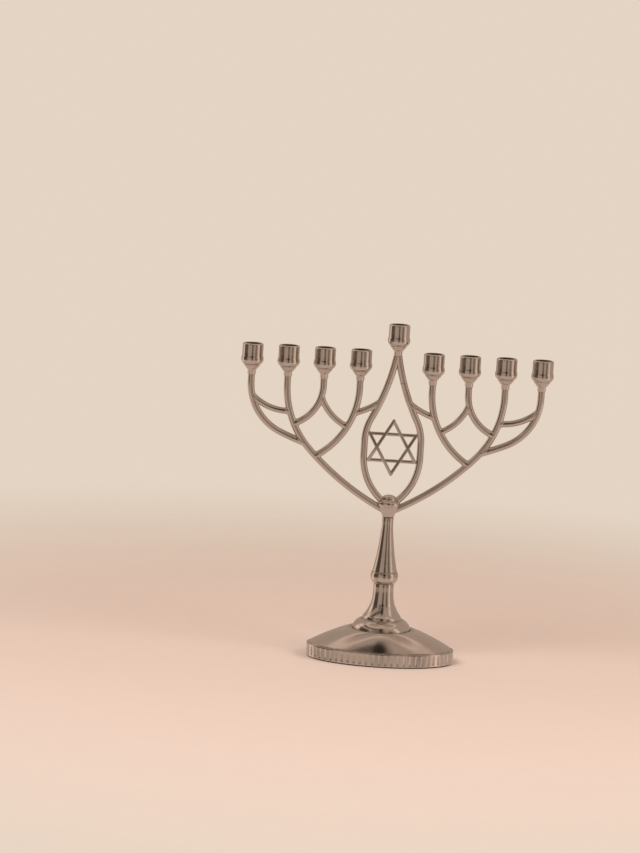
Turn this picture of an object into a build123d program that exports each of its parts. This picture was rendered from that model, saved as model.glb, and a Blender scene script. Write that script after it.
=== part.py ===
"""Nine-light menorah: an oval reeded foot, a turned column, eight curved branches and a raised
servant light over a teardrop that frames a six-pointed star. All branches lie in one plane.
Millimetres, +Z up, +X along the row of candles, origin under the middle of the foot."""
import os
from math import cos, radians, sin, sqrt

from build123d import *

os.makedirs("parts", exist_ok=True)

# Overall sizes
overall_height = 228.6  # felt to the rim of the servant cup
overall_width = 209.55  # over the two outermost cups
base_width = 99.8
base_depth = 60.3

# Clearances between pieces
braze_gap = 0.03  # film of braze or solder around a rod end
thread_gap = 0.03  # radial, male thread in its tapped hole
slide_gap = 0.2  # radial, tie rod through the column

# Candle cups
cup_height = 21.1
cup_barrel_radius = 7.0
cup_waist_radius = 7.5  # swelling below the barrel
cup_neck_radius = 2.8
candle_bore_radius = 5.2
candle_bore_depth = 12.0
cup_lip = 0.6  # chamfer at the mouth of the bore
servant_rise = 18.3  # servant rim above the other eight rims
stud_radius = 1.25
stud_depth = 4.0  # into the branch, and the same into the cup

# Branches
rod_radius = 2.3
strut_radius = 2.12
plumb_length = 5.0  # straight stretch under a cup
main_arm_slope = 27.0  # degrees above level where it leaves the hub
main_arm_ease = 0.81  # upper arc's tangent length over the lower one's
outer_arm_slope = 18.0
outer_arm_ease = 2.6
outer_arm_drop = 44.3  # cup foot to the joint below it
third_arm_drop = 31.6
inner_arm_drop = 52.7
outer_strut_radius = 34.5
outer_strut_drops = (23.4, 13.7)  # on the main arm, on the outer arm
arch_strut_radius = 33.5
arch_strut_drops = (12.2, 31.7)  # on the third arm, on the inner arm
drop_strut_radius = 60.0
drop_strut_drops = (13.6, 22.2)  # on the teardrop, on the inner arm

# Teardrop and star
teardrop_half_width = 18.92
teardrop_belly_rise = 40.7  # hub seat to the lower end of the straight belly
teardrop_belly_length = 10.2
teardrop_crown_offset = 0.6  # centre line from the middle, at the top
teardrop_crown_lean = 9.9  # degrees from plumb, at the top
teardrop_crown_ease = 0.362
teardrop_root = (5.6, 11.6)  # lower end, out from the middle and up from the hub seat
star_bar = 2.15
star_thickness = 2.2
star_edge = 0.45  # rounding along the bars
star_rise = 6.5  # star centre above the lower end of the belly
star_bite = 0.05  # tips into the teardrop

# Column
column_bore_radius = 2.2
bell_height = 32.7
bell_foot_radius = 19.75
bell_neck_radius = 6.85
knop_height = 7.8
knop_radius = 9.3
stem_height = 37.5
stem_foot_radius = 8.45
stem_neck_radius = 3.85
hub_height = 15.0
hub_radius = 7.8
arm_root = (6.25, 6.0)  # main arm's end inside the hub, out and up from the hub seat
rod_in_hub = 7.0  # tapped length above the hub seat

# Foot
felt_thickness = 0.8
felt_inset = 0.9
rim_height = 9.4  # top of the reeded band
dome_edge_inset = 1.2  # step from the band to the edge of the dome
dome_height = 21.7
dome_swell = 1.35  # power of the dome's fall over its spread; 1 is a straight cone
dome_sections = 6
seat_depth = 1.7  # bell foot let into the top of the dome
seat_gap = 0.3
base_wall = 2.6
board_thickness = 1.5
board_ledge = 1.8  # rim wall left outside the board
board_gap = 0.15
flute_count = 60
flute_radius = 0.55
flute_margin = 1.1  # plain band above and below the flutes
washer_radius = 5.0
washer_thickness = 1.0
nut_width = 7.0  # across flats
nut_height = 3.2
rod_tail = 2.0  # tie rod below its nut

# Places worked out from the sizes above
cup_pitch = (overall_width / 2 - cup_waist_radius) / 4
socket_height = overall_height - servant_rise - cup_height
crown_height = overall_height - cup_height
bell_seat = dome_height - seat_depth
knop_seat = bell_seat + bell_height
stem_seat = knop_seat + knop_height
hub_seat = stem_seat + stem_height
belly_foot = hub_seat + teardrop_belly_rise
star_height = belly_foot + star_rise
star_radius = (teardrop_half_width - rod_radius - star_bar / 2 + star_bite) / cos(radians(30))
tie_rod_radius = column_bore_radius - slide_gap


# Helpers for routes drawn in the plane of the branches
def unit(degrees):
    """Direction in the branch plane, in degrees from +X."""
    return Vector(cos(radians(degrees)), sin(radians(degrees)))


def arc_meeting(start, start_way, finish, finish_way, ease):
    """Point where two tangent arcs from start to finish meet."""
    start = Vector(*start)
    finish = Vector(*finish)
    reach = finish - start
    lean = start_way * ease + finish_way
    a = lean.dot(lean) - (1 + ease) ** 2
    b = -2 * reach.dot(lean)
    tail = (-b - sqrt(b * b - 4 * a * reach.dot(reach))) / (2 * a)
    first = start + start_way * (ease * tail)
    second = finish - finish_way * tail
    meeting = (first + second * ease) * (1 / (1 + ease))
    return (meeting.X, meeting.Y)


def at_height(route, height):
    """(x, z) of the point of a falling route that lies at the given height."""
    low, high = 0.0, 1.0
    for _ in range(40):
        middle = (low + high) / 2
        if (route @ middle).Z > height:
            low = middle
        else:
            high = middle
    point = route @ low
    return (point.X, point.Z)


def tube(route, radius, mode=Mode.ADD):
    """Round rod along a route, in the part being built."""
    with BuildSketch(Plane(route @ 0, z_dir=route % 0)) as section:
        Circle(radius)
    sweep(section.sketch, path=route, mode=mode)


def finish(part, name):
    part.label = name
    export_step(part, f"parts/{name}.step")


# Routes on the right-hand side; the left-hand side mirrors them
def main_arm_route():
    x = 3 * cup_pitch
    start = (x, socket_height)
    plumb = (x, socket_height - plumb_length)
    root = (arm_root[0], hub_seat + arm_root[1])
    way_in = unit(180 + main_arm_slope)
    meeting = arc_meeting(plumb, unit(-90), root, way_in, main_arm_ease)
    with BuildLine(Plane.XZ) as route:
        Line(start, plumb)
        upper = TangentArc(plumb, meeting, tangent=(0, -1))
        TangentArc(upper @ 1, root, tangent=upper % 1)
    return route.wires()[0]


def outer_arm_route(main_arm):
    x = 4 * cup_pitch
    start = (x, socket_height)
    plumb = (x, socket_height - plumb_length)
    root = at_height(main_arm, socket_height - outer_arm_drop)
    way_in = unit(180 + outer_arm_slope)
    meeting = arc_meeting(plumb, unit(-90), root, way_in, outer_arm_ease)
    with BuildLine(Plane.XZ) as route:
        Line(start, plumb)
        upper = TangentArc(plumb, meeting, tangent=(0, -1))
        TangentArc(upper @ 1, root, tangent=upper % 1)
    return route.wires()[0]


def swept_arm_route(place, main_arm, drop):
    """Third or inner arm: plumb, then one arc outwards to the main arm."""
    x = place * cup_pitch
    plumb = (x, socket_height - plumb_length)
    with BuildLine(Plane.XZ) as route:
        Line((x, socket_height), plumb)
        TangentArc(plumb, at_height(main_arm, socket_height - drop), tangent=(0, -1))
    return route.wires()[0]


def strut_route(first, second, drops, radius):
    """One arc between two routes, each met at its own drop below the cups' feet."""
    with BuildLine(Plane.XZ) as route:
        RadiusArc(
            at_height(first, socket_height - drops[0]),
            at_height(second, socket_height - drops[1]),
            radius,
        )
    return route.wires()[0]


def teardrop_route():
    crown = (teardrop_crown_offset, crown_height)
    belly_top = (teardrop_half_width, belly_foot + teardrop_belly_length)
    belly_low = (teardrop_half_width, belly_foot)
    root = (teardrop_root[0], hub_seat + teardrop_root[1])
    way_out = unit(teardrop_crown_lean - 90)
    above = (crown[0] - way_out.X, crown[1] - way_out.Y)
    meeting = arc_meeting(crown, way_out, belly_top, unit(-90), 1 / teardrop_crown_ease)
    with BuildLine(Plane.XZ) as route:
        Line(above, crown)
        crown_arc = TangentArc(crown, meeting, tangent=(way_out.X, way_out.Y))
        TangentArc(crown_arc @ 1, belly_top, tangent=crown_arc % 1)
        Line(belly_top, belly_low)
        TangentArc(belly_low, root, tangent=(0, -1))
    return route.wires()[0]


main_arm = main_arm_route()
outer_arm = outer_arm_route(main_arm)
third_arm = swept_arm_route(2, main_arm, third_arm_drop)
inner_arm = swept_arm_route(1, main_arm, inner_arm_drop)
teardrop = teardrop_route()
outer_strut = strut_route(main_arm, outer_arm, outer_strut_drops, -outer_strut_radius)
arch_strut = strut_route(third_arm, inner_arm, arch_strut_drops, arch_strut_radius)
drop_strut = strut_route(teardrop, inner_arm, drop_strut_drops, -drop_strut_radius)


# Branches: each rod is coped to the rods that it meets, and drilled for its cup's stud
def branch(name, route, radius, neighbours, cup_x=None):
    with BuildPart() as rod:
        tube(route, radius)
        for neighbour in neighbours:
            tube(neighbour, rod_radius + braze_gap, Mode.SUBTRACT)
        if cup_x is not None:
            with Locations((cup_x, 0, socket_height)):
                Hole(stud_radius + thread_gap, stud_depth + thread_gap)
    finish(rod.part, f"{name}_right")
    finish(mirror(rod.part, about=Plane.YZ), f"{name}_left")


branch("main_arm", main_arm, rod_radius, [], 3 * cup_pitch)
branch("outer_arm", outer_arm, rod_radius, [main_arm], 4 * cup_pitch)
branch("third_arm", third_arm, rod_radius, [main_arm], 2 * cup_pitch)
branch("inner_arm", inner_arm, rod_radius, [main_arm], cup_pitch)
branch("outer_strut", outer_strut, strut_radius, [main_arm, outer_arm])
branch("arch_strut", arch_strut, strut_radius, [third_arm, inner_arm])
branch("drop_strut", drop_strut, strut_radius, [teardrop, inner_arm])


# Teardrop: two bent rods joined down the middle under the servant cup
with BuildPart() as teardrop_leg:
    tube(teardrop, rod_radius)
    split(bisect_by=Plane.YZ.offset(braze_gap / 2), keep=Keep.TOP)
    split(bisect_by=Plane.XY.offset(crown_height), keep=Keep.BOTTOM)
    with Locations((0, 0, crown_height)):
        Hole(stud_radius + thread_gap, stud_depth + thread_gap)
finish(teardrop_leg.part, "teardrop_leg_right")
finish(mirror(teardrop_leg.part, about=Plane.YZ), "teardrop_leg_left")


# Star: two bar triangles cast in one piece, its side tips brazed to the teardrop
with BuildPart() as star:
    for turn in (90, -90):
        with BuildSketch(Plane.XZ.offset(-star_thickness / 2)) as triangle:
            with Locations((0, star_height)):
                RegularPolygon(star_radius, 3, rotation=turn)
            offset(amount=star_bar / 2, kind=Kind.ARC)
            with Locations((0, star_height)):
                RegularPolygon(star_radius - star_bar, 3, rotation=turn, mode=Mode.SUBTRACT)
        extrude(amount=star_thickness)
    fillet(star.edges().group_by(Axis.Y)[0] + star.edges().group_by(Axis.Y)[-1], star_edge)
    tube(teardrop, rod_radius + braze_gap, Mode.SUBTRACT)
    tube(teardrop.mirror(Plane.YZ), rod_radius + braze_gap, Mode.SUBTRACT)
finish(star.part, "star_of_david")


# Candle cups: turned, with a bore for the candle and a tapped neck
def candle_cup(name, x, foot):
    neck_top = 2.9
    step = 6.9
    swell = 10.1
    shoulder = 12.8
    lip_round = 1.2
    floor = cup_height - candle_bore_depth
    mouth = cup_barrel_radius - lip_round
    with BuildPart(Plane.XY.move(Location((x, 0, foot)))) as cup:
        with BuildSketch(Plane((x, 0, foot), x_dir=(1, 0, 0), z_dir=(0, -1, 0))):
            with BuildLine():
                Polyline(
                    (0, 0),
                    (cup_neck_radius - 0.3, 0),
                    (cup_neck_radius, 0.3),
                    (cup_neck_radius, neck_top),
                    (cup_neck_radius + 0.3, neck_top + 0.5),
                )
                ThreePointArc((cup_neck_radius + 0.3, neck_top + 0.5), (3.9, 4.2), (4.6, 5.4))
                Polyline((4.6, 5.4), (5.1, 5.5), (5.5, step), (6.1, step + 0.3))
                ThreePointArc((6.1, step + 0.3), (7.15, 8.5), (cup_waist_radius, swell))
                ThreePointArc(
                    (cup_waist_radius, swell),
                    (cup_barrel_radius + 0.33, 11.7),
                    (cup_barrel_radius, shoulder),
                )
                Line((cup_barrel_radius, shoulder), (cup_barrel_radius, cup_height - lip_round))
                TangentArc(
                    (cup_barrel_radius, cup_height - lip_round),
                    (mouth, cup_height),
                    tangent=(0, 1),
                )
                Polyline(
                    (mouth, cup_height),
                    (candle_bore_radius, cup_height - cup_lip),
                    (candle_bore_radius, floor),
                    (0, floor),
                    (0, 0),
                )
            make_face()
        revolve(axis=Axis((x, 0, 0), (0, 0, 1)))
        with Locations(Location((0, 0, 0), (180, 0, 0))):
            Hole(stud_radius + thread_gap, stud_depth + thread_gap)
    finish(cup.part, name)


for place in range(1, 5):
    candle_cup(f"candle_cup_{5 - place}", -place * cup_pitch, socket_height)
    candle_cup(f"candle_cup_{4 + place}", place * cup_pitch, socket_height)
candle_cup("servant_cup", 0, crown_height)


# Threaded studs, half in each branch and half in its cup
with BuildPart() as studs:
    with Locations(
        (0, 0, crown_height),
        *[(i * cup_pitch, 0, socket_height) for i in (-4, -3, -2, -1, 1, 2, 3, 4)],
    ):
        Cylinder(stud_radius, 2 * stud_depth)
finish(studs.part, "cup_studs")


# Column: bell foot, knop, stem and hub, turned pieces clamped together by one tie rod
def turned(draw_profile, bores):
    """A piece turned about the column's axis; bores are (radius, from, to) heights."""
    with BuildPart() as piece:
        with BuildSketch(Plane.XZ):
            with BuildLine():
                draw_profile()
            make_face()
        revolve(axis=Axis.Z)
        for radius, low, high in bores:
            with Locations((0, 0, low)):
                Cylinder(
                    radius,
                    high - low,
                    align=(Align.CENTER, Align.CENTER, Align.MIN),
                    mode=Mode.SUBTRACT,
                )
    return piece.part


def bell_profile():
    neck_low = knop_seat - 4.7
    skirt = (bell_neck_radius + 1.25, bell_seat + 18.4)
    skirt_low = (12.2, bell_seat + 10.8)
    collar = (13.2, bell_seat + 8.2)
    flange_edge = (bell_foot_radius, bell_seat + 2.0)
    Polyline((0, bell_seat), (0, knop_seat), (bell_neck_radius, knop_seat), (bell_neck_radius, neck_low))
    TangentArc((bell_neck_radius, neck_low), skirt, tangent=(0, -1))
    ThreePointArc(skirt, (9.65, bell_seat + 14.9), skirt_low)
    ThreePointArc(skirt_low, (12.95, bell_seat + 9.6), collar)
    flange_spread = bell_foot_radius - collar[0]
    ThreePointArc(collar, (collar[0] + 0.64 * flange_spread, bell_seat + 6.0), flange_edge)
    Polyline(
        flange_edge,
        (bell_foot_radius, bell_seat + 0.6),
        (bell_foot_radius - 0.5, bell_seat),
        (0, bell_seat),
    )


def bell_hollow():
    """Space inside the cast bell, closed by the foot below."""
    with BuildPart() as hollow:
        with BuildSketch(Plane.XZ):
            with BuildLine():
                mouth = (bell_foot_radius - 2.6, bell_seat)
                inner_collar = (10.6, bell_seat + 6.0)
                Line((0, bell_seat), mouth)
                mouth_spread = mouth[0] - inner_collar[0]
                ThreePointArc(
                    mouth, (inner_collar[0] + 0.7 * mouth_spread, bell_seat + 4.2), inner_collar
                )
                ThreePointArc(inner_collar, (8.2, bell_seat + 11.5), (5.6, bell_seat + 17.0))
                Polyline((5.6, bell_seat + 17.0), (0, bell_seat + 20.0), (0, bell_seat))
            make_face()
        revolve(axis=Axis.Z)
    return hollow.part


def knop_profile():
    low = (7.25, knop_seat)
    widest = (knop_radius, knop_seat + 4.2)
    top = (8.6, stem_seat)
    Polyline((0, stem_seat), (0, knop_seat), low)
    ThreePointArc(low, (8.6, knop_seat + 1.7), widest)
    ThreePointArc(widest, (9.2, knop_seat + 6.1), top)
    Line(top, (0, stem_seat))


def stem_profile():
    foot = (stem_foot_radius, stem_seat)
    waist = (6.1, stem_seat + 11.5)
    neck = (stem_neck_radius, hub_seat - 7.0)
    Polyline((0, hub_seat), (0, stem_seat), foot)
    ThreePointArc(foot, (7.35, stem_seat + 5.0), waist)
    ThreePointArc(waist, (4.85, stem_seat + 21.0), neck)
    Polyline(neck, (stem_neck_radius, hub_seat - 0.3), (stem_neck_radius - 0.3, hub_seat), (0, hub_seat))


def hub_profile():
    shoulder = (hub_radius, hub_seat + 9.3)
    cap_foot = (5.0, hub_seat + 11.6)
    cap_top = (4.6, hub_seat + 14.0)
    neck = (stem_neck_radius + 0.15, hub_seat + 0.6)
    top = (0, hub_seat + hub_height)
    TangentArc(top, cap_top, tangent=(1, 0))
    Line(cap_top, cap_foot)
    ThreePointArc(cap_foot, (6.9, hub_seat + 11.0), shoulder)
    ThreePointArc(shoulder, (5.8, hub_seat + 4.3), neck)
    Polyline(neck, (stem_neck_radius - 0.15, hub_seat), (0, hub_seat), top)


rod_foot = bell_seat - base_wall - washer_thickness - nut_height - rod_tail
rod_top = hub_seat + rod_in_hub

with BuildPart() as bell_foot:
    add(turned(bell_profile, [(column_bore_radius, bell_seat, knop_seat)]))
    add(bell_hollow(), mode=Mode.SUBTRACT)
finish(bell_foot.part, "bell_foot")
finish(turned(knop_profile, [(column_bore_radius, knop_seat, stem_seat)]), "knop_ring")
finish(turned(stem_profile, [(column_bore_radius, stem_seat, hub_seat)]), "upper_stem")

with BuildPart() as hub:
    add(turned(hub_profile, [(tie_rod_radius + thread_gap, hub_seat, rod_top + 0.5)]))
    for route in (main_arm, teardrop):
        tube(route, rod_radius + braze_gap, Mode.SUBTRACT)
    split(bisect_by=Plane.YZ, keep=Keep.TOP)
    mirror(about=Plane.YZ)
finish(hub.part, "hub")

with BuildPart() as tie_rod:
    with Locations((0, 0, rod_foot)):
        Cylinder(tie_rod_radius, rod_top - rod_foot, align=(Align.CENTER, Align.CENTER, Align.MIN))
    chamfer(tie_rod.edges(), 0.3)
finish(tie_rod.part, "tie_rod")

washer_top = bell_seat - base_wall
with BuildPart() as washer:
    with BuildSketch(Plane.XY.offset(washer_top - washer_thickness)):
        Circle(washer_radius)
        Circle(column_bore_radius, mode=Mode.SUBTRACT)
    extrude(amount=washer_thickness)
finish(washer.part, "tie_washer")

with BuildPart() as nut:
    with BuildSketch(Plane.XY.offset(washer_top - washer_thickness - nut_height)):
        RegularPolygon(nut_width / 2, 6, major_radius=False)
        Circle(tie_rod_radius + thread_gap, mode=Mode.SUBTRACT)
    extrude(amount=nut_height)
finish(nut.part, "tie_nut")


# Foot: one hollow casting, reeded round its upright band and domed above it
half_width = base_width / 2
half_depth = base_depth / 2
seat_radius = bell_foot_radius + seat_gap
dome_edge_height = rim_height + 0.4


def oval(height, shrink):
    with BuildSketch(Plane.XY.offset(height)) as outline:
        Ellipse(half_width - shrink, half_depth - shrink)
    return outline.sketch


def dome_section(height, share, shrink):
    """Oval between the round seat (share 0) and the edge of the dome (share 1)."""
    crown = seat_radius + 0.6
    reach_x = half_width - dome_edge_inset - crown
    reach_y = half_depth - dome_edge_inset - crown
    with BuildSketch(Plane.XY.offset(height)) as section:
        Ellipse(crown + reach_x * share - shrink, crown + reach_y * share - shrink)
    return section.sketch


def dome_solid(shrink, sink, mode=Mode.ADD):
    """Dome lofted through ovals; it falls slowly near the seat and faster towards its edge."""
    rise = dome_height - dome_edge_height
    sections = []
    for step in range(dome_sections, -1, -1):
        share = step / dome_sections
        sections.append(dome_section(dome_height - sink - rise * share**dome_swell, share, shrink))
    loft(sections, mode=mode)


with BuildPart() as base_dome:
    extrude(oval(felt_thickness, 0), amount=rim_height - felt_thickness)
    extrude(oval(rim_height, dome_edge_inset), amount=dome_edge_height - rim_height)
    dome_solid(0, 0)
    band_low = felt_thickness + flute_margin
    band_height = rim_height - flute_margin - band_low
    rim_line = oval(band_low, 0).face().outer_wire()
    with Locations(*[rim_line @ (i / flute_count) for i in range(flute_count)]):
        Cylinder(
            flute_radius,
            band_height,
            align=(Align.CENTER, Align.CENTER, Align.MIN),
            mode=Mode.SUBTRACT,
        )
    with Locations((0, 0, bell_seat)):
        Cylinder(
            seat_radius,
            dome_height,
            align=(Align.CENTER, Align.CENTER, Align.MIN),
            mode=Mode.SUBTRACT,
        )
    extrude(oval(felt_thickness, board_ledge), amount=board_thickness, mode=Mode.SUBTRACT)
    hollow_low = felt_thickness + board_thickness
    extrude(
        oval(hollow_low, board_ledge + base_wall / 2),
        amount=dome_edge_height - base_wall - hollow_low,
        mode=Mode.SUBTRACT,
    )
    dome_solid(base_wall, base_wall + 0.2, Mode.SUBTRACT)
    Hole(column_bore_radius)
finish(base_dome.part, "base_dome")

with BuildPart() as board:
    extrude(oval(felt_thickness, board_ledge + board_gap), amount=board_thickness)
finish(board.part, "base_board")

with BuildPart() as felt:
    extrude(oval(0, felt_inset), amount=felt_thickness)
finish(felt.part, "felt_pad")
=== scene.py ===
from math import asin, atan2, cos, hypot, pi, radians, sin

import bmesh
import bpy
import numpy as np
from mathutils import Matrix, Vector


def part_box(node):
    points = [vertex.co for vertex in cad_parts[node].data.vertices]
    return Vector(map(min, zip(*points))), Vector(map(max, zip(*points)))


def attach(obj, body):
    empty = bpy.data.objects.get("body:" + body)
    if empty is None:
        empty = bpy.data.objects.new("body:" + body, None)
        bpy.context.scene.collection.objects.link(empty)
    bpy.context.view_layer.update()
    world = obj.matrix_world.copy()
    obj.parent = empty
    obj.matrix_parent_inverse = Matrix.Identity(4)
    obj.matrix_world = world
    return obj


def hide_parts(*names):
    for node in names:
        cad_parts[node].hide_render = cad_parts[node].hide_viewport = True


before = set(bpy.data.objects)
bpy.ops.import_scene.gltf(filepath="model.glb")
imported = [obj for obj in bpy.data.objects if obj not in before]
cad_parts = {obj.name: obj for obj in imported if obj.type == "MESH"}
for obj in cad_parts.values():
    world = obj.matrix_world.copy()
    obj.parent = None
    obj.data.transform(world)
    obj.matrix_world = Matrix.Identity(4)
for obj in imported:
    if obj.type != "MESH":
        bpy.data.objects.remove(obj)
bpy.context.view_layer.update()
MM = 0.001
bpy.ops.object.select_all(action="DESELECT")


# ---------------------------------------------------------------------------------------------
# Foot: one hollow casting, polished and nickel plated. The upright band is reeded with sixty
# narrow grooves, and the dome swells from the band up to a round seat for the column.
# ---------------------------------------------------------------------------------------------
foot_low, foot_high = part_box("base_dome")
bell_low, bell_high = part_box("bell_foot")
half_width = foot_high.x
half_depth = foot_high.y
foot_underside = foot_low.z
dome_top = foot_high.z
bell_seat = bell_low.z
bell_foot_radius = bell_high.x
band_top = 9.4 * MM
dome_edge = 9.8 * MM
dome_inset = 1.2 * MM
dome_swell = 1.35
foot_wall = 2.6 * MM
seat_gap = 0.3 * MM
rod_hole_radius = 2.2 * MM
board_thickness = 1.5 * MM
board_ledge = 1.8
groove_count = 60
groove_half_width = 0.75 * MM
groove_depth = 0.3 * MM
groove_margin = 1.0 * MM


class Shade:
    """A socket in a material. Sums and products of these add the Math nodes that work them out."""

    def __init__(self, tree, socket):
        self.tree = tree
        self.socket = socket

    def node(self, kind, output, inputs, **settings):
        """Any other node: its settings first, then values or links for its sockets."""
        made = self.tree.nodes.new(kind)
        for name, value in settings.items():
            setattr(made, name, value)
        for name, value in inputs.items():
            if isinstance(value, Shade):
                self.tree.links.new(value.socket, made.inputs[name])
            else:
                made.inputs[name].default_value = value
        return Shade(self.tree, made.outputs[output])

    def maths(self, operation, first, second=0.0):
        return self.node("ShaderNodeMath", 0, {0: first, 1: second}, operation=operation)

    def __add__(self, other):
        return self.maths("ADD", self, other)

    def __sub__(self, other):
        return self.maths("SUBTRACT", self, other)

    def __rsub__(self, other):
        return self.maths("SUBTRACT", other, self)

    def __mul__(self, other):
        return self.maths("MULTIPLY", self, other)

    __radd__ = __add__
    __rmul__ = __mul__

    def within(self, low, high):
        """0 at low and below, 1 at high and above, smooth between."""
        inputs = {"Value": self, "From Min": low, "From Max": high}
        return self.node("ShaderNodeMapRange", 0, inputs, interpolation_type="SMOOTHSTEP")

    def near(self, place, reach):
        """1 where this equals place, fading to 0 a reach away."""
        return 1.0 - self.maths("ABSOLUTE", self - place).within(0.0, reach)

    def noise(self, scale, detail=2.0, stretch=(1.0, 1.0, 1.0), distortion=0.0):
        """Cloudy noise on these coordinates, drawn out along the axes with a small stretch."""
        place = self.node("ShaderNodeMapping", 0, {"Vector": self, "Scale": stretch})
        inputs = {"Vector": place, "Scale": scale, "Detail": detail, "Distortion": distortion}
        return self.node("ShaderNodeTexNoise", "Fac", inputs)

    def blend(self, first, second):
        """The first colour where this is 0, the second where it is 1."""
        inputs = {"Factor": self, "A": first, "B": second}
        mix = self.tree.nodes.new("ShaderNodeMix")
        mix.data_type = "RGBA"
        sockets = {"Factor": mix.inputs[0], "A": mix.inputs[6], "B": mix.inputs[7]}
        for name, value in inputs.items():
            if isinstance(value, Shade):
                self.tree.links.new(value.socket, sockets[name])
            else:
                sockets[name].default_value = value
        return Shade(self.tree, mix.outputs[2])

    def into(self, surface, name):
        self.tree.links.new(self.socket, surface.inputs[name])


def new_material(name):
    """An empty material, its Object coordinates, and its surface shader."""
    material = bpy.data.materials.new(name)
    material.use_nodes = True
    tree = material.node_tree
    place = tree.nodes.new("ShaderNodeTexCoord").outputs["Object"]
    return material, Shade(tree, place), tree.nodes["Principled BSDF"]


def height_of(place):
    return place.node("ShaderNodeSeparateXYZ", "Z", {"Vector": place})


def bump(place, relief):
    """The relief, in millimetres, as a bump."""
    return place.node("ShaderNodeBump", 0, {"Height": relief, "Strength": 1.0, "Distance": MM})


def nickel_plate(name, mark_stretch, mark_depth, ripple_depth, film):
    """Polished nickel. Marks are the fine lines left by the wheel or the lathe, ripple is the slight
    waviness of the metal beneath, and film is a function of the coordinates that says where the
    polishing compound and handling have left the surface duller and browner."""
    material, place, surface = new_material(name)
    cloud = place.noise(48.0, 4.0)
    wipes = place.noise(260.0, 3.0, distortion=0.8)
    marks = place.noise(1400.0, 4.0, mark_stretch)
    ripple = place.noise(120.0, 1.0)
    dull = cloud.within(0.52, 0.78) * 0.4 + film(place) * wipes.within(0.2, 0.7)
    dull = place.maths("MINIMUM", dull, 1.0)
    dull.blend((0.69, 0.635, 0.575, 1.0), (0.42, 0.36, 0.3, 1.0)).into(surface, "Base Color")
    (0.1 + 0.05 * wipes + 0.05 * marks + 0.2 * dull).into(surface, "Roughness")
    bump(place, marks * mark_depth + ripple * ripple_depth).into(surface, "Normal")
    surface.inputs["Metallic"].default_value = 1.0
    return material


def draw_up(name, rows, sides=128, outline=None):
    """A shell drawn up ring by ring through rows of (half width, half depth, height)."""
    bpy.ops.mesh.primitive_circle_add(vertices=sides, radius=1.0)
    piece = bpy.context.object
    piece.name = name
    if outline is not None:
        for vertex, place in zip(piece.data.vertices, outline):
            vertex.co = (*place, 0.0)
    bpy.ops.object.mode_set(mode="EDIT")
    wide, deep, height = rows[0]
    bpy.ops.transform.resize(value=(wide, deep, 1.0), center_override=(0, 0, 0))
    bpy.ops.transform.translate(value=(0, 0, height))
    for next_wide, next_deep, next_height in rows[1:]:
        rise = (0, 0, next_height - height)
        bpy.ops.mesh.extrude_region_move(TRANSFORM_OT_translate={"value": rise})
        spread = (next_wide / wide, next_deep / deep, 1.0)
        bpy.ops.transform.resize(value=spread, center_override=(0, 0, next_height))
        wide, deep, height = next_wide, next_deep, next_height
    return piece


def close_up(weld=0.004 * MM):
    """In edit mode: merge the seams and poles, fill what is open, and turn every face outwards."""
    bpy.ops.mesh.select_all(action="SELECT")
    bpy.ops.mesh.remove_doubles(threshold=weld)
    bpy.ops.mesh.fill_holes(sides=0)
    bpy.ops.mesh.select_all(action="SELECT")
    bpy.ops.mesh.normals_make_consistent(inside=False)
    bpy.ops.object.mode_set(mode="OBJECT")


def ease_edges(piece, width, angle=30.0, segments=2):
    """Break the sharp edges, as buffing does."""
    bevel = piece.modifiers.new("eased_edges", "BEVEL")
    bevel.width = width
    bevel.segments = segments
    bevel.limit_method = "ANGLE"
    bevel.angle_limit = radians(angle)
    bpy.ops.object.modifier_apply(modifier=bevel.name)


def put_in_place(piece, material, slot, *nodes):
    """Smooth the finished piece, and let it stand for its CAD nodes."""
    bpy.ops.object.select_all(action="DESELECT")
    piece.select_set(True)
    bpy.context.view_layer.objects.active = piece
    bpy.ops.object.transform_apply(location=True, rotation=True, scale=True)
    bpy.ops.object.shade_smooth_by_angle(angle=radians(38.0))
    piece.data.materials.clear()
    piece.data.materials.append(material)
    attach(piece, "root")
    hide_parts(*nodes)
    bpy.ops.object.select_all(action="DESELECT")


def groove_outline():
    """Unit places round the foot, evenly spaced along its edge, with each one's depth of groove."""
    fine = np.linspace(0.0, 2 * pi, 20001)
    steps = np.hypot(np.diff(half_width * np.cos(fine)), np.diff(half_depth * np.sin(fine)))
    walked = np.concatenate([[0.0], np.cumsum(steps)])
    pitch = walked[-1] / groove_count
    across_groove = np.linspace(-1.0, 1.0, 7)
    on_rib = np.linspace(groove_half_width, pitch - groove_half_width, 7)[1:-1]
    along = np.concatenate([across_groove * groove_half_width, on_rib])
    depths = np.concatenate([np.cos(across_groove * pi / 2) ** 1.5, on_rib * 0.0])
    starts = np.repeat(np.arange(groove_count) * pitch, len(along))
    places = (starts + np.tile(along, groove_count)) % walked[-1]
    angles = np.interp(places, walked, fine)
    return np.column_stack([np.cos(angles), np.sin(angles)]), np.tile(depths, groove_count)


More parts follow.
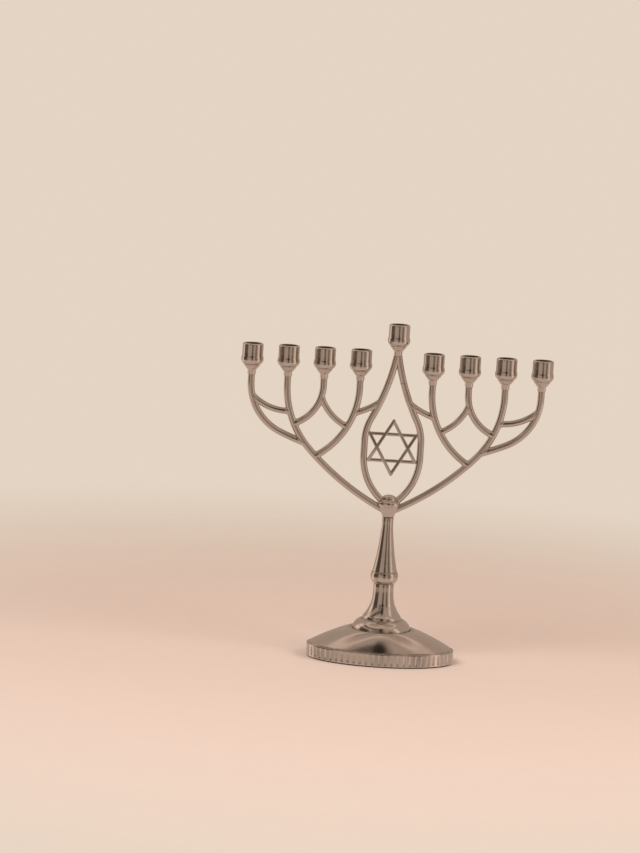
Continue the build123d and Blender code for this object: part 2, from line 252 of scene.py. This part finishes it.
def foot_rows():
    """From the lower edge up the band, over the dome, down into the seat and back down inside."""
    rows = []

    def band(inset, height):
        rows.append((half_width - inset * MM, half_depth - inset * MM, height))

    def dome(share, inset, height):
        """An oval between the round seat, share 0, and the edge of the dome, share 1."""
        reach_x = (half_width - dome_inset - crown) * share
        reach_y = (half_depth - dome_inset - crown) * share
        rows.append((crown + reach_x - inset, crown + reach_y - inset, height))

    for inset, rise in ((0.6, 0.0), (0.3, 0.05), (0.1, 0.18), (0.0, 0.45), (0.0, 0.95)):
        band(inset, foot_underside + rise * MM)
    for rise in (1.15, 1.4, 1.7, 3.0, 4.3, 5.6, 6.9, 7.2, 7.45):
        band(0.0, foot_underside + rise * MM)
    for inset, fall in ((0.0, 0.9), (0.0, 0.5), (0.08, 0.22), (0.28, 0.05), (0.6, 0.0), (1.0, 0.0)):
        band(inset, band_top - fall * MM)
    crown = bell_foot_radius + seat_gap + 0.6 * MM
    fall = dome_top - dome_edge
    band(dome_inset / MM, band_top + 0.12 * MM)
    for share in (1.0, 0.985, *np.linspace(0.96, 0.04, 30), 0.015, 0.0):
        dome(share, 0.0, dome_top - fall * share**dome_swell)
    seat = bell_foot_radius + seat_gap
    for radius, height in (
        (seat + 0.25 * MM, dome_top - 0.04 * MM),
        (seat + 0.06 * MM, dome_top - 0.16 * MM),
        (seat, dome_top - 0.4 * MM),
        (seat, bell_seat),
        (rod_hole_radius, bell_seat),
        (rod_hole_radius, bell_seat - foot_wall),
        (crown - 2 * foot_wall, bell_seat - foot_wall),
    ):
        rows.append((radius, radius, height))
    for share in np.linspace(0.0, 1.0, 7):
        dome(share, foot_wall, dome_top - foot_wall - 0.4 * MM - fall * share**dome_swell)
    board_seat = foot_underside + board_thickness
    band(board_ledge + foot_wall / MM / 2, 5.6 * MM)
    band(board_ledge + foot_wall / MM / 2, board_seat)
    band(board_ledge, board_seat)
    band(board_ledge, foot_underside)
    rows.append(rows[0])
    return rows


outline, groove_shares = groove_outline()
foot = draw_up("polished_foot", foot_rows(), len(outline), outline)
column_of = {tuple(np.round(place, 4)): share for place, share in zip(outline, groove_shares)}
bpy.ops.mesh.select_all(action="SELECT")
bpy.ops.mesh.remove_doubles(threshold=0.004 * MM)
bpy.ops.mesh.normals_make_consistent(inside=False)
groove_low = foot_underside + groove_margin
groove_high = band_top - groove_margin
# Each column of a groove is pushed in by its share of the depth, and less near the groove's ends.
for share in sorted(set(np.round(groove_shares, 4)) - {0.0}):
    for end_share, end_low, end_high in ((0.45, 0.0, 0.3), (0.8, 0.3, 0.55), (1.0, 0.55, 9.0)):
        shape = bmesh.from_edit_mesh(foot.data)
        for vertex in shape.verts:
            x, y, height = vertex.co
            unit = tuple(np.round((x / half_width, y / half_depth), 4))
            to_end = min(height - groove_low, groove_high - height) / MM
            vertex.select = bool(
                end_low <= to_end < end_high
                and abs(hypot(*unit) - 1.0) < 0.001
                and abs(column_of.get(unit, 0.0) - share) < 0.001
            )
        shape.select_flush_mode()
        bmesh.update_edit_mesh(foot.data)
        bpy.ops.transform.shrink_fatten(value=-groove_depth * share * end_share)
close_up()
ease_edges(foot, 0.25 * MM, angle=50.0)
foot_plate = nickel_plate(
    "foot_plate",
    (0.05, 0.05, 1.0),
    0.0012,
    0.02,
    lambda place: height_of(place).near(dome_edge - 0.2 * MM, 0.9 * MM) * 0.8
    + height_of(place).near(dome_top, 0.7 * MM) * 0.7,
)
put_in_place(foot, foot_plate, "foot_plate", "base_dome")


# ---------------------------------------------------------------------------------------------
# Column: four turned pieces, bell foot, knop, stem and hub, turned from brass, nickel plated
# and clamped together on the foot by one rod. A dull line of film stays in each seam.
# ---------------------------------------------------------------------------------------------
knop_seat = bell_high.z
stem_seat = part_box("knop_ring")[1].z
hub_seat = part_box("hub")[0].z
bell_neck_radius = 6.85 * MM
knop_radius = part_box("knop_ring")[1].x
stem_foot_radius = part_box("upper_stem")[1].x
stem_neck_radius = 3.85 * MM
hub_radius = 7.8 * MM


def arc_through(start, via, finish, steps):
    """Points of the arc from start through via to finish, with start left out."""
    (ax, ay), (bx, by), (cx, cy) = start, via, finish
    scale = 2 * (ax * (by - cy) + bx * (cy - ay) + cx * (ay - by))
    a, b, c = ax * ax + ay * ay, bx * bx + by * by, cx * cx + cy * cy
    x = (a * (by - cy) + b * (cy - ay) + c * (ay - by)) / scale
    y = (a * (cx - bx) + b * (ax - cx) + c * (bx - ax)) / scale
    first = atan2(ay - y, ax - x)
    turn = (atan2(cy - y, cx - x) - first + pi) % (2 * pi) - pi
    radius = hypot(ax - x, ay - y)
    angles = first + turn * np.linspace(0.0, 1.0, steps + 1)[1:]
    return [(x + radius * cos(angle), y + radius * sin(angle)) for angle in angles]


def turned(name, profile, seat, sides=144):
    """A piece turned about the column's axis; its profile is (radius, height above its seat), mm."""
    rows = [(radius * MM, radius * MM, seat + height * MM) for radius, height in profile]
    piece = draw_up(name, rows, sides)
    close_up()
    return piece


def seam_film(*seams):
    """A film gathered within a millimetre of each height."""
    return lambda place: sum(
        (height_of(place).near(seam, 0.9 * MM) * 0.9 for seam in seams), start=0.0
    )


bore = rod_hole_radius / MM
neck = bell_neck_radius / MM
flange = bell_foot_radius / MM
bell_profile = [(bore, 0.0), (flange - 0.5, 0.0), (flange, 0.6), (flange, 2.0)]
bell_profile += arc_through((flange, 2.0), (13.2 + 0.64 * (flange - 13.2), 6.0), (13.2, 8.2), 18)
bell_profile += arc_through((13.2, 8.2), (12.95, 9.6), (12.2, 10.8), 6)
bell_profile += arc_through((12.2, 10.8), (9.65, 14.9), (8.1, 18.4), 14)
bell_profile += arc_through((8.1, 18.4), (7.17, 23.1), (neck, 28.0), 14)
bell_profile += [(neck, 30.0), (neck, 32.7), (bore, 32.7), (bore, 0.0)]
bell = turned("bell_foot_turning", bell_profile, bell_seat, 176)

knop_profile = [(bore, 0.0), (7.25, 0.0)]
knop_profile += arc_through((7.25, 0.0), (8.6, 1.7), (knop_radius / MM, 4.2), 12)
knop_profile += arc_through((knop_radius / MM, 4.2), (9.2, 6.1), (8.6, 7.8), 8)
knop_profile += [(bore, 7.8), (bore, 0.0)]
knop = turned("knop_turning", knop_profile, knop_seat)

stem_profile = [(bore, 0.0), (stem_foot_radius / MM, 0.0)]
stem_profile += arc_through((stem_foot_radius / MM, 0.0), (7.35, 5.0), (6.1, 11.5), 14)
stem_profile += arc_through((6.1, 11.5), (4.85, 21.0), (stem_neck_radius / MM, 30.5), 16)
stem_profile += [(stem_neck_radius / MM, 34.0), (stem_neck_radius / MM, 37.2)]
stem_profile += [(stem_neck_radius / MM - 0.3, 37.5), (bore, 37.5), (bore, 0.0)]
stem = turned("stem_turning", stem_profile, stem_seat)

hub_profile = [(stem_neck_radius / MM - 0.15, 0.0), (stem_neck_radius / MM + 0.15, 0.6)]
hub_profile += arc_through((4.0, 0.6), (5.6, 4.3), (7.2, 7.6), 16)
hub_profile += arc_through((7.2, 7.6), (hub_radius / MM, 9.4), (6.9, 11.0), 12)
hub_profile += arc_through((6.9, 11.0), (6.3, 11.5), (5.4, 11.7), 6)
hub_profile += arc_through((5.4, 11.7), (5.0, 12.5), (4.8, 13.4), 6)
hub_profile += arc_through((4.8, 13.4), (2.9, 14.65), (0.001, 15.0), 12)
hub = turned("hub_turning", hub_profile, hub_seat)

column_plate = nickel_plate(
    "column_plate",
    (0.04, 0.04, 1.0),
    0.0015,
    0.012,
    seam_film(bell_seat, bell_seat + 2.0 * MM, bell_seat + 8.2 * MM, knop_seat, stem_seat, hub_seat),
)
for piece, node, edge in (
    (bell, "bell_foot", 0.3),
    (knop, "knop_ring", 0.35),
    (stem, "upper_stem", 0.3),
    (hub, "hub", 0.35),
):
    bpy.context.view_layer.objects.active = piece
    ease_edges(piece, edge * MM)
    put_in_place(piece, column_plate, "column_plate", node)


# ---------------------------------------------------------------------------------------------
# Branches: drawn brass rod, bent cold, coped and brazed where one meets another, then plated.
# All of them lie in one plane. Each is bent for the right-hand side and copied for the left.
# ---------------------------------------------------------------------------------------------
rod_radius = 2.3 * MM
strut_radius = 2.12 * MM
plumb_length = 5.0 * MM
cup_corners = [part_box(f"candle_cup_{place}") for place in range(1, 9)]
cup_places = [(low.x + high.x) / 2 for low, high in cup_corners]
socket_height = cup_corners[0][0].z
cup_pitch = cup_places[7] - cup_places[6]
rod_sides = 48
ring_spacing = 0.7 * MM


class Route:
    """A rod's centre line, (x, z) in the plane of the branches: it leaves start in its first
    direction, goes from point to point, straight or by the arc that leaves the last smoothly, and
    runs straight on by the length that is sunk in what holds it."""

    def __init__(self, start, way, *points, sunk=0.0):
        self.start = Vector(start)
        self.way = Vector(way).normalized()
        self.stretches = []
        place, heading = self.start, self.way
        for point in points:
            chord = Vector(point) - place
            half_turn = atan2(heading.cross(chord), heading.dot(chord))
            centre = None
            if abs(half_turn) > 1e-5:
                radius = chord.length / (2 * sin(half_turn))
                centre = place + Vector((-heading.y, heading.x)) * radius
            self.stretches.append((place, Vector(point), centre, 2 * half_turn))
            place = Vector(point)
            heading = Matrix.Rotation(2 * half_turn, 2) @ heading
        if sunk:
            self.stretches.append((place, place + heading * sunk, None, 0.0))

    def points(self, spacing=0.2 * MM):
        found = [self.start]
        for place, finish, centre, turn in self.stretches:
            if centre is None:
                steps = max(2, round((finish - place).length / spacing))
                found += [place.lerp(finish, i / steps) for i in range(1, steps + 1)]
            else:
                arm = place - centre
                steps = max(2, round(arm.length * abs(turn) / spacing))
                turns = [Matrix.Rotation(turn * i / steps, 2) for i in range(1, steps + 1)]
                found += [centre + step @ arm for step in turns]
        return np.array(found)

    def at_height(self, height):
        """The point where this falling route passes the height."""
        x, z = self.points().T
        return Vector((np.interp(-height, -z, x), height))


def meeting(start, way_out, finish, way_in, ease):
    """Where two arcs meet that leave start and reach finish smoothly; ease is the first one's
    tangent length over the second one's."""
    reach = Vector(finish) - Vector(start)
    lean = way_out * ease + way_in
    a = lean.dot(lean) - (1 + ease) ** 2
    b = -2 * reach.dot(lean)
    tail = (-b - (b * b - 4 * a * reach.dot(reach)) ** 0.5) / (2 * a)
    first = Vector(start) + way_out * (ease * tail)
    second = Vector(finish) - way_in * tail
    return (first + second * ease) / (1 + ease)


def heading_of(angle):
    return Vector((cos(radians(angle)), sin(radians(angle))))


down = Vector((0.0, -1.0))


def arm_route(place, foot, slope, ease, sunk=0.0):
    """From a cup straight down, then by two arcs to the foot, which it reaches at the slope."""
    top = Vector((place * cup_pitch, socket_height))
    plumb = top + down * plumb_length
    way_in = heading_of(180 + slope)
    return Route(top, down, plumb, meeting(plumb, down, foot, way_in, ease), foot, sunk=sunk)


def swept_arm_route(place, main_route, drop):
    """From a cup straight down, then outwards by one arc to the main arm."""
    top = Vector((place * cup_pitch, socket_height))
    return Route(top, down, top + down * plumb_length, main_route.at_height(socket_height - drop))


def strut_route(first, second, drops, radius):
    """One arc between two routes; a positive radius bends it anticlockwise."""
    start = first.at_height(socket_height - drops[0])
    finish = second.at_height(socket_height - drops[1])
    chord = finish - start
    half_turn = asin(chord.length / (2 * radius))
    return Route(start, Matrix.Rotation(-half_turn, 2) @ chord, finish)


def away_from(route, points):
    """The vectors to the points from the nearest places on a route."""
    line = route.points(0.5 * MM)
    flat = points[:, (0, 2)]
    nearest = line[((flat[:, None] - line[None]) ** 2).sum(2).argmin(1)]
    return np.column_stack([flat[:, 0] - nearest[:, 0], points[:, 1], flat[:, 1] - nearest[:, 1]])


def bent_rod(name, route, radius, brazed_to=()):
    """A round rod drawn along its route ring by ring, swelling into a fillet of braze where it
    meets its neighbours."""
    heading = route.way
    bpy.ops.mesh.primitive_circle_add(
        vertices=rod_sides,
        radius=radius,
        location=(route.start.x, 0, route.start.y),
        rotation=(0, atan2(heading.x, heading.y), 0),
    )
    rod = bpy.context.object
    rod.name = name
    bpy.ops.object.transform_apply(location=True, rotation=True, scale=True)
    bpy.ops.object.mode_set(mode="EDIT")
    for place, finish, centre, turn in route.stretches:
        if centre is None:
            steps = max(2, round((finish - place).length / ring_spacing))
            step = (finish - place) / steps
            for _ in range(steps):
                bpy.ops.mesh.extrude_region_move(
                    TRANSFORM_OT_translate={"value": (step.x, 0, step.y)}
                )
        else:
            steps = max(3, round((place - centre).length * abs(turn) / ring_spacing))
            bpy.ops.mesh.spin(
                steps=steps, angle=turn, center=(centre.x, 0, centre.y), axis=(0, 1, 0)
            )
    close_up()
    for neighbour in brazed_to:
        places = np.array([vertex.co for vertex in rod.data.vertices])
        outward = np.array([vertex.vector for vertex in rod.data.vertex_normals])
        gap = away_from(neighbour, places)
        distance = np.linalg.norm(gap, axis=1)
        facing = (gap * outward).sum(1) / distance
        share = np.clip(1.0 - np.abs(distance - rod_radius) / braze_reach, 0.0, 1.0)
        swell = braze_swell * share**2 * (1.0 - facing**2)
        rod.data.vertices.foreach_set("co", (places + outward * swell[:, None]).ravel())
    return rod


def mirrored(piece, name):
    """A copy on the other side of the column, turned right side out."""
    bpy.ops.object.select_all(action="DESELECT")
    piece.select_set(True)
    bpy.context.view_layer.objects.active = piece
    bpy.ops.object.duplicate()
    copy = bpy.context.object
    copy.name = name
    bpy.ops.transform.mirror(constraint_axis=(True, False, False), center_override=(0, 0, 0))
    bpy.ops.object.transform_apply(location=True, rotation=True, scale=True)
    bpy.ops.object.mode_set(mode="EDIT")
    close_up()
    return copy


braze_reach = 1.1 * MM
braze_swell = 0.7 * MM
hub_joint = Vector((6.25 * MM, hub_seat + 6.0 * MM))
main_route = arm_route(3, hub_joint, 27.0, 0.81, sunk=4.0 * MM)
outer_route = arm_route(4, main_route.at_height(socket_height - 44.3 * MM), 18.0, 2.6)
third_route = swept_arm_route(2, main_route, 31.6 * MM)
inner_route = swept_arm_route(1, main_route, 52.7 * MM)

crown_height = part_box("servant_cup")[0].z
belly_half_width = 18.92 * MM
belly_foot = hub_seat + 40.7 * MM
belly_top = Vector((belly_half_width, belly_foot + 10.2 * MM))
crown = Vector((0.6 * MM, crown_height))
crown_heading = heading_of(9.9 - 90)
crown_meeting = meeting(crown, crown_heading, belly_top, down, 1 / 0.362)
teardrop_foot = (5.6 * MM, hub_seat + 11.6 * MM)
teardrop_route = Route(
    crown - crown_heading * MM,
    crown_heading,
    crown,
    crown_meeting,
    belly_top,
    (belly_half_width, belly_foot),
    teardrop_foot,
    sunk=2.6 * MM,
)
outer_strut_route = strut_route(main_route, outer_route, (23.4 * MM, 13.7 * MM), 34.5 * MM)
arch_strut_route = strut_route(third_route, inner_route, (12.2 * MM, 31.7 * MM), -33.5 * MM)
drop_strut_route = strut_route(teardrop_route, inner_route, (13.6 * MM, 22.2 * MM), 60.0 * MM)

branch_plate = nickel_plate(
    "branch_plate",
    (1.0, 1.0, 1.0),
    0.001,
    0.008,
    lambda place: height_of(place).near(socket_height, 0.8 * MM) * 0.9,
)
for name, route, radius, neighbours in (
    ("main_arm", main_route, rod_radius, ()),
    ("outer_arm", outer_route, rod_radius, (main_route,)),
    ("third_arm", third_route, rod_radius, (main_route,)),
    ("inner_arm", inner_route, rod_radius, (main_route,)),
    ("outer_strut", outer_strut_route, strut_radius, (main_route, outer_route)),
    ("arch_strut", arch_strut_route, strut_radius, (third_route, inner_route)),
    ("drop_strut", drop_strut_route, strut_radius, (teardrop_route, inner_route)),
):
    right = bent_rod(f"bent_{name}_right", route, radius, neighbours)
    left = mirrored(right, f"bent_{name}_left")
    put_in_place(right, branch_plate, "branch_plate", f"{name}_right")
    put_in_place(left, branch_plate, "branch_plate", f"{name}_left")


# ---------------------------------------------------------------------------------------------
# Teardrop: two bent rods, sawn flat down the middle and brazed together under the servant cup.
# They swell round the star and run into the hub between the two main arms.
# ---------------------------------------------------------------------------------------------
leg = bent_rod("bent_teardrop_leg_right", teardrop_route, rod_radius)
bpy.context.view_layer.objects.active = leg
bpy.ops.object.mode_set(mode="EDIT")
for saw_place, saw_way in (((0, 0, 0), (-1, 0, 0)), ((0, 0, crown_height), (0, 0, 1))):
    bpy.ops.mesh.select_all(action="SELECT")
    bpy.ops.mesh.bisect(plane_co=saw_place, plane_no=saw_way, use_fill=True, clear_outer=True)
close_up()
other_leg = mirrored(leg, "bent_teardrop_leg_left")
put_in_place(leg, branch_plate, "branch_plate", "teardrop_leg_right")
put_in_place(other_leg, branch_plate, "branch_plate", "teardrop_leg_left")


# ---------------------------------------------------------------------------------------------
# Star: a thin casting of two barred triangles, its edges rounded by tumbling, with the slanted
# bars standing a little proud of the level ones. Its side tips are brazed to the teardrop.
# ---------------------------------------------------------------------------------------------
star_low, star_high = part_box("star_of_david")
star_centre = Vector((0.0, 0.0, (star_low.z + star_high.z) / 2))
star_bar = 2.15 * MM
star_depth = star_high.y - star_low.y
star_radius = (star_high.z - star_low.z) / 2 - star_bar / 2
bar_length = 2 * star_radius * cos(radians(30))
bars = []
for turn in range(6):
    slanted = turn % 3 != 0
    depth = star_depth - (0.0 if slanted else 0.34 * MM) - 0.02 * MM * (turn > 2)
    bpy.ops.mesh.primitive_cube_add(size=1.0)
    bar = bpy.context.object
    bpy.ops.object.mode_set(mode="EDIT")
    bpy.ops.transform.resize(value=(bar_length + star_bar, depth, star_bar))
    bpy.ops.mesh.bevel(offset=0.5 * MM, segments=5, affect="EDGES", clamp_overlap=True)
    bpy.ops.transform.translate(value=(0, 0, -star_radius / 2))
    bpy.ops.object.mode_set(mode="OBJECT")
    bar.rotation_euler = (0, radians(60 * turn), 0)
    bar.location = star_centre
    bpy.ops.object.transform_apply(location=True, rotation=True, scale=True)
    bar.select_set(False)
    bars.append(bar)
star = bars[0]
star.name = "cast_star"
bpy.context.view_layer.objects.active = star
for bar in bars[1:]:
    union = star.modifiers.new("union", "BOOLEAN")
    union.operation = "UNION"
    union.solver = "EXACT"
    union.object = bar
    bpy.ops.object.modifier_apply(modifier=union.name)
    bpy.data.objects.remove(bar)
put_in_place(star, branch_plate, "branch_plate", "star_of_david")


# ---------------------------------------------------------------------------------------------
# Candle cups: nine turned brass cups, nickel plated, each with a rolled rim, a straight barrel
# over a swelling, a bore darkened by soot and painted shade, and a neck tapped for the stud that
# holds it.
# ---------------------------------------------------------------------------------------------
cup_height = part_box("servant_cup")[1].z - crown_height
cup_top = cup_height / MM
barrel = 7.0
swelling = 7.5
lip = 1.2
candle_bore = 5.2
bore_floor = cup_top - 12.0
cup_profile = [(2.5, 0.0), (2.8, 0.3), (2.8, 2.9), (3.1, 3.4)]
cup_profile += arc_through((3.1, 3.4), (3.9, 4.2), (4.6, 5.4), 8)
cup_profile += [(5.1, 5.5), (5.5, 6.9), (6.1, 7.2)]
cup_profile += arc_through((6.1, 7.2), (7.15, 8.5), (swelling, 10.1), 10)
cup_profile += arc_through((swelling, 10.1), (barrel + 0.33, 11.7), (barrel, 12.8), 8)
cup_profile += [(barrel, 15.0), (barrel, 17.5), (barrel, cup_top - lip - 0.35)]
rim_centre = cup_top - lip
cup_profile += [
    (barrel - lip + lip * cos(angle), rim_centre + lip * sin(angle))
    for angle in np.linspace(0.0, pi / 2, 9)
]
cup_profile += arc_through(
    (barrel - lip, cup_top), (5.37, cup_top - 0.18), (candle_bore, cup_top - 0.6), 4
)
cup_profile += [(candle_bore, cup_top - 6.0), (candle_bore, bore_floor), (0.001, bore_floor)]
cup_plate = nickel_plate(
    "cup_plate",
    (0.04, 0.04, 1.0),
    0.0015,
    0.006,
    lambda place: height_of(place).near(socket_height + 7.0 * MM, 1.2 * MM)
    + height_of(place).near(crown_height + 7.0 * MM, 1.2 * MM),
)
bore_soot_and_shade, place, surface = new_material("bore_soot_and_shade")
# The bore's dark browns are soot and painted shade: they stand for the shadow deep in the cup.
soot = place.noise(380.0, 4.0)
soot.within(0.35, 0.75).blend((0.21, 0.18, 0.15, 1.0), (0.1, 0.082, 0.068, 1.0)).into(
    surface, "Base Color"
)
(0.38 + 0.25 * soot).into(surface, "Roughness")
bump(place, soot * 0.02).into(surface, "Normal")
surface.inputs["Metallic"].default_value = 1.0
servant = turned("servant_cup_turning", cup_profile, crown_height, 128)
bpy.context.view_layer.objects.active = servant
ease_edges(servant, 0.18 * MM)


def darken_bore(cup, place, seat):
    """Give the faces of the candle's bore the dark inside material: soot and painted shade."""
    cup.data.materials.append(bore_soot_and_shade)
    for face in cup.data.polygons:
        middle = face.center
        inward = hypot(middle.x - place, middle.y) < (candle_bore + 0.2) * MM
        if inward and middle.z > seat + (bore_floor - 0.1) * MM:
            face.material_index = 1


for number, place in enumerate(cup_places, 1):
    bpy.ops.object.select_all(action="DESELECT")
    servant.select_set(True)
    bpy.context.view_layer.objects.active = servant
    bpy.ops.object.duplicate()
    bpy.ops.transform.translate(value=(place, 0, socket_height - crown_height))
    cup = bpy.context.object
    cup.name = f"cup_{number}_turning"
    put_in_place(cup, cup_plate, "cup_plate", f"candle_cup_{number}")
    darken_bore(cup, place, socket_height)
put_in_place(servant, cup_plate, "cup_plate", "servant_cup")
darken_bore(servant, 0.0, crown_height)


# ---------------------------------------------------------------------------------------------
# Underside: a pressed board closes the hollow foot, and a sheet of black wool felt is glued over
# it. The fibres stand up a little, and the cut edge is slightly uneven.
# ---------------------------------------------------------------------------------------------
felt_low, felt_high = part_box("felt_pad")
felt_wide = felt_high.x - felt_low.x
felt_deep = felt_high.y - felt_low.y
felt_rows = [
    (felt_wide / 2 * share, felt_deep / 2 * share, height)
    for share, height in (
        (0.5, felt_high.z - 0.04 * MM),
        (0.99, felt_high.z - 0.04 * MM),
        (0.998, felt_high.z - 0.2 * MM),
        (1.0, felt_high.z - 0.4 * MM),
        (0.998, felt_low.z + 0.15 * MM),
        (0.99, felt_low.z),
        *((share, felt_low.z) for share in np.linspace(0.97, 0.05, 40)),
        (0.0001, felt_low.z),
    )
]
felt = draw_up("felt_sheet", felt_rows, 240)
close_up()
fluff = bpy.data.textures.new("fluff", "CLOUDS")
fluff.noise_scale = 1.6 * MM
fluff_push = felt.modifiers.new("fluff", "DISPLACE")
fluff_push.texture = fluff
fluff_push.strength = 0.16 * MM
fluff_push.mid_level = 1.0
bpy.context.view_layer.objects.active = felt
bpy.ops.object.modifier_apply(modifier=fluff_push.name)
black_felt, place, surface = new_material("black_felt")
fibres = place.noise(2600.0, 4.0, (1.0, 0.35, 1.0), 1.2)
tufts = place.noise(420.0, 3.0)
(fibres * 0.7 + tufts * 0.3).within(0.3, 0.75).blend(
    (0.012, 0.012, 0.014, 1.0), (0.06, 0.058, 0.06, 1.0)
).into(surface, "Base Color")
bump(place, fibres * 0.12 + tufts * 0.1).into(surface, "Normal")
surface.inputs["Roughness"].default_value = 0.95
surface.inputs["Sheen Weight"].default_value = 0.35
surface.inputs["Sheen Roughness"].default_value = 0.5
put_in_place(felt, black_felt, "felt", "felt_pad")

hardboard, place, surface = new_material("hardboard")
pulp = place.noise(900.0, 5.0, (1.0, 0.5, 1.0), 0.6)
specks = place.noise(3200.0, 2.0)
(pulp * 0.8 + specks * 0.2).within(0.3, 0.7).blend(
    (0.16, 0.095, 0.05, 1.0), (0.34, 0.22, 0.13, 1.0)
).into(surface, "Base Color")
(0.55 + 0.2 * pulp).into(surface, "Roughness")
bump(place, pulp * 0.04 + specks * 0.02).into(surface, "Normal")
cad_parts["base_board"].data.materials.clear()
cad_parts["base_board"].data.materials.append(hardboard)


# ---------------------------------------------------------------------------------------------
# Fastenings: a steel rod with its washer and nut under the foot, and nine threaded studs inside
# the necks of the cups. They are zinc plated, and none of them shows from outside.
# ---------------------------------------------------------------------------------------------
zinc_steel, place, surface = new_material("zinc_steel")
grime = place.noise(300.0, 4.0)
thread_pitch = 0.7 * MM
threads = place.maths("SINE", height_of(place) * (2 * pi / thread_pitch))
grime.within(0.4, 0.75).blend((0.62, 0.62, 0.6, 1.0), (0.34, 0.33, 0.31, 1.0)).into(
    surface, "Base Color"
)
(0.3 + 0.25 * grime).into(surface, "Roughness")
bump(place, threads * 0.12 + grime * 0.01).into(surface, "Normal")
surface.inputs["Metallic"].default_value = 1.0
for node in ("tie_rod", "tie_washer", "tie_nut", "cup_studs"):
    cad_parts[node].data.materials.clear()
    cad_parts[node].data.materials.append(zinc_steel)


# ---------------------------------------------------------------------------------------------
# Room: a pale warm floor that fades into a plain backdrop, two soft lamps, and the surroundings
# that the plate reflects: windows at both sides, dark stands between them, and an arch overhead.
# ---------------------------------------------------------------------------------------------
floor_clear = 0.2
floor_edge = 0.75
backdrop = (0.775, 0.658, 0.546, 1.0)
bpy.ops.mesh.primitive_circle_add(vertices=96, radius=floor_edge, fill_type="NGON")
floor = bpy.context.object
floor.name = "floor"
paper, place, surface = new_material("paper")
grain = place.noise(60.0, 3.0)
grain.blend((0.76, 0.645, 0.535, 1.0), (0.79, 0.67, 0.557, 1.0)).into(surface, "Base Color")
from_middle = place.node("ShaderNodeVectorMath", "Value", {0: place}, operation="LENGTH")
(1.0 - from_middle.within(floor_clear, floor_edge)).into(surface, "Alpha")
surface.inputs["Roughness"].default_value = 0.9
surface.inputs["Specular IOR Level"].default_value = 0.1
floor.data.materials.append(paper)
floor.visible_glossy = False

world = bpy.data.worlds.new("studio")
bpy.context.scene.world = world
world.use_nodes = True
sky = world.node_tree.nodes["Background"]
way = Shade(world.node_tree, world.node_tree.nodes.new("ShaderNodeTexCoord").outputs["Generated"])
across = way.node("ShaderNodeSeparateXYZ", "X", {"Vector": way})
forward = way.node("ShaderNodeSeparateXYZ", "Y", {"Vector": way})
upward = way.node("ShaderNodeSeparateXYZ", "Z", {"Vector": way})
bearing = way.maths("ARCTAN2", across, 0.0 - forward) * (180 / pi)
rise = way.maths("ARCSINE", upward) * (180 / pi)


def card(angle, low, high, edge):
    """1 between two angles, in degrees, fading over the edge outside them."""
    return angle.within(low - edge, low) * (1.0 - angle.within(high, high + edge))


upright = card(rise, -8, 30, 3) + card(rise, -34, -12, 1) * 0.3
stripes = (
    card(bearing, -94, -54, 5) * 0.85
    + card(bearing, -6, 7, 4) * 0.8
    + card(bearing, 33, 47, 4) * 0.65
)
overhead = (
    card(bearing, -34, 14, 8) * card(rise, 20, 38, 5) * 0.5
    + card(bearing, -100, 8, 8) * card(rise, 44, 49, 3) * 0.85
    + card(bearing, -6, 6, 4) * card(rise, 38, 54, 4) * 0.7
)
dark = upright * stripes + overhead
windows = card(bearing, 65, 79, 4) + card(bearing, -124, -104, 4)
bright = windows * (
    card(rise, -30, -11, 2) * 0.5
    + card(rise, -9, 9, 3) * 0.55
    + card(rise, 13, 24, 3) * 1.1
    + card(rise, 30, 44, 4) * 0.6
)
arch = rise - card(bearing, -15, 15, 45) * 11.0
bright = bright + card(rise, -91, -12, 2) * 0.22
bright = bright + card(arch, 56, 59, 3) * 0.45 + card(rise, 86, 91, 3) * 0.4
glow = 0.45 + bright * 0.72 - dark * 0.43
seen = way.node("ShaderNodeLightPath", "Is Camera Ray", {})
tint = rise.within(-14, -9).blend((1.0, 0.755, 0.63, 1.0), (1.0, 0.765, 0.63, 1.0))
around = glow.blend((0.0, 0.0, 0.0, 1.0), tint)
seen.blend(around, backdrop).into(sky, "Color")

for name, place, size, watts in (
    ("key", (-0.7, -0.9, 1.3), 0.9, 16.0),
    ("fill", (1.0, -0.6, 0.9), 0.8, 8.3),
):
    bpy.ops.object.light_add(type="AREA", location=place)
    lamp = bpy.context.object
    lamp.name = name
    lamp.data.size = size
    lamp.data.energy = watts
    lamp.data.color = (1.0, 0.93, 0.98)
    lamp.visible_glossy = False
    lamp.rotation_euler = (Vector((0, 0, 0.1)) - Vector(place)).to_track_quat("-Z", "Y").to_euler()

bpy.ops.object.camera_add(
    location=(0.0, -2.394, 0.5009), rotation=(1.40185, -0.058, 0.0325)
)
camera = bpy.context.object
camera.data.lens = 151.9
camera.data.shift_x = 0.0147
camera.data.shift_y = 0.1083
camera.data.clip_start = 0.01
bpy.context.scene.camera = camera
bpy.context.scene.view_settings.view_transform = "Standard"
